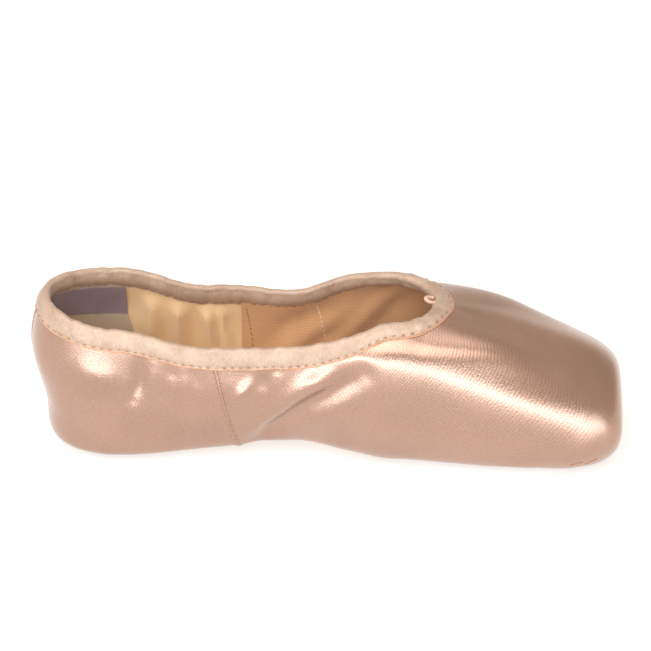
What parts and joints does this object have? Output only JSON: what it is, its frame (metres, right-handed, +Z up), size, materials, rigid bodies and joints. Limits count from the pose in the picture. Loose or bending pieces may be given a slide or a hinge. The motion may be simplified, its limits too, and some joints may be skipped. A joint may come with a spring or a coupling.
{
  "type": "pointe shoe",
  "caption": "Satin ballet pointe shoe with a stiff squared toe box, bound collar, small drawstring loop and thin leather sole, standing empty.",
  "frame": {"origin": "on the floor, under the middle of the shoe's box", "axes": "+X towards the toe, +Y to the shoe's left, +Z up"},
  "size_m": [0.242, 0.0634, 0.0679],
  "materials": {
    "satin": "pale pink-beige satin weave with a soft sheen",
    "sole_leather": "natural tan split leather",
    "lining": "matt tan cotton",
    "binding": "pale satin tape",
    "label": "matt lilac-grey woven tape",
    "cord": "matt pink cotton cord"
  },
  "bodies": {
    "root": {"upper": "satin", "outsole": "sole_leather", "insole": "lining", "collar_binding": "binding", "heel_label": "label", "drawstring_loop": "cord"}
  },
  "joints": []
}
